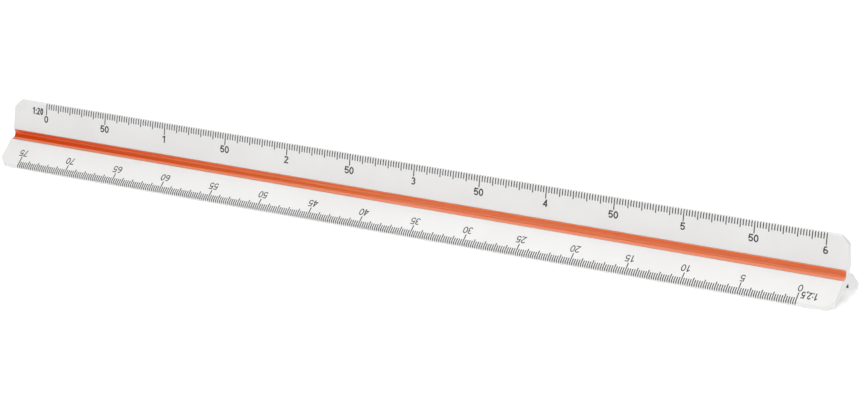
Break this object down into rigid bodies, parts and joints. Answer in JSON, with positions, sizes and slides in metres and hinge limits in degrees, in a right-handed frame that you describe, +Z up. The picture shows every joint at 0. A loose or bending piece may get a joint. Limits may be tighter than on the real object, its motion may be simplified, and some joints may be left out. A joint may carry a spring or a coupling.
{
  "type": "triangular scale ruler",
  "caption": "Three-winged drafting scale ruler in white plastic, with graduated faces and a coloured concave strip in each groove between the wings.",
  "frame": {"origin": "middle of the footprint, at the height of the surface that the two lower wing edges rest on", "axes": "+X along the ruler, +Z up through the top wing, -Y towards the side whose upper face carries the 1:20 graduations"},
  "size_m": [0.3212, 0.0256, 0.0224],
  "materials": {
    "white_plastic": "satin",
    "orange_plastic": "gloss",
    "dark_plastic": "gloss",
    "green_plastic": "gloss",
    "printing_ink": "matt"
  },
  "bodies": {
    "root": {"scale_body": "white_plastic", "front_groove_strip": "orange_plastic", "bottom_groove_strip": "dark_plastic", "back_groove_strip": "green_plastic"}
  },
  "joints": []
}
